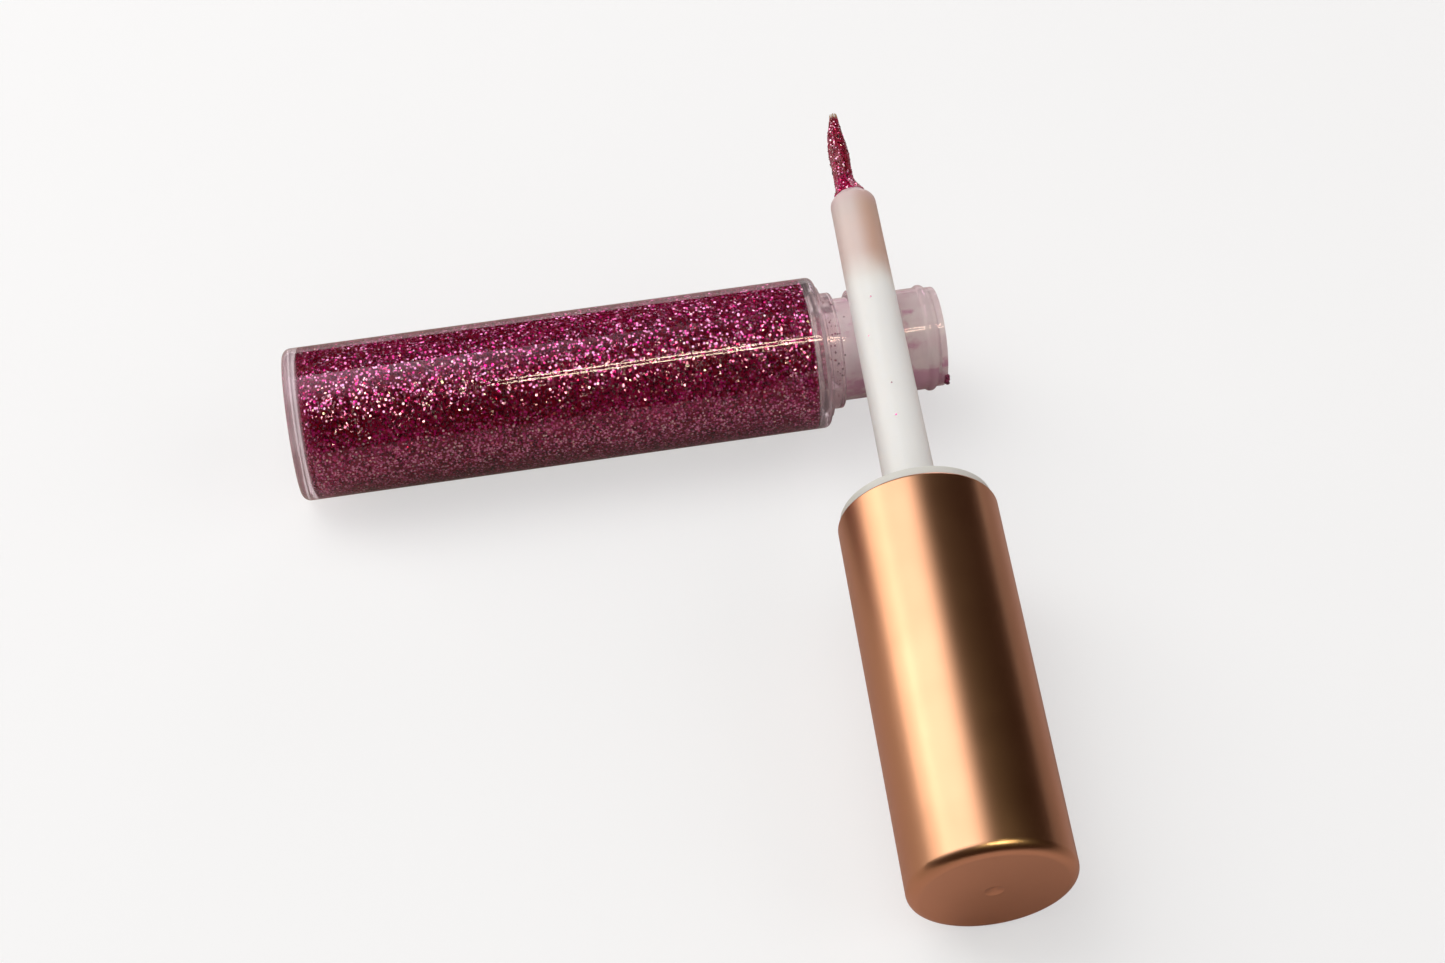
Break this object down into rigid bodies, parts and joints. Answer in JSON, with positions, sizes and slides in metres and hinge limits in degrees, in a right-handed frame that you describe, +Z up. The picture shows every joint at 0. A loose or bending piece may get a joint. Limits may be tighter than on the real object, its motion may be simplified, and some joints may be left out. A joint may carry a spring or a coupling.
{
  "type": "lip gloss tube",
  "caption": "Open lip gloss tube on its side: clear threaded bottle of glitter gel, with its metal-shelled screw cap, stem and brush resting across the neck.",
  "frame": {"origin": "on the surface the object lies on, in the middle of its whole footprint", "axes": "+X along the bottle from base to mouth, +Y from the cap's closed end towards the brush, +Z up"},
  "size_m": [0.0686, 0.0936, 0.0207],
  "materials": {
    "clear_plastic": "clear polished PETG",
    "gloss_gel": "wet crimson gel full of pink glitter",
    "wiper_plastic": "milky natural polyethylene",
    "copper_metal": "satin copper anodised aluminium",
    "white_plastic": "white polypropylene",
    "seal_foam": "soft polyethylene foam",
    "stem_plastic": "milky satin polypropylene",
    "ferrule_metal": "bright",
    "bristles": "tan nylon bristles soaked in gloss"
  },
  "bodies": {
    "bottle": {"bottle": "clear_plastic", "wiper": "wiper_plastic", "gloss_fill": "gloss_gel"},
    "seal": {"seal_ring": "seal_foam"},
    "applicator": {"cap_shell": "copper_metal", "inner_cap": "white_plastic", "stem": "stem_plastic", "brush_ferrule": "ferrule_metal", "brush_tuft": "bristles"}
  },
  "joints": [
    {"name": "applicator_lift", "type": "slide", "parent": "bottle", "child": "seal", "axis": [0, 0, 1], "range_m": [0, 0.06]},
    {"name": "cap_spin", "type": "hinge", "parent": "seal", "child": "applicator", "pos_m": [0.02469, -0.04591, 0.0077], "axis": [0.0318, 0.9913, 0.1276], "continuous": true}
  ]
}
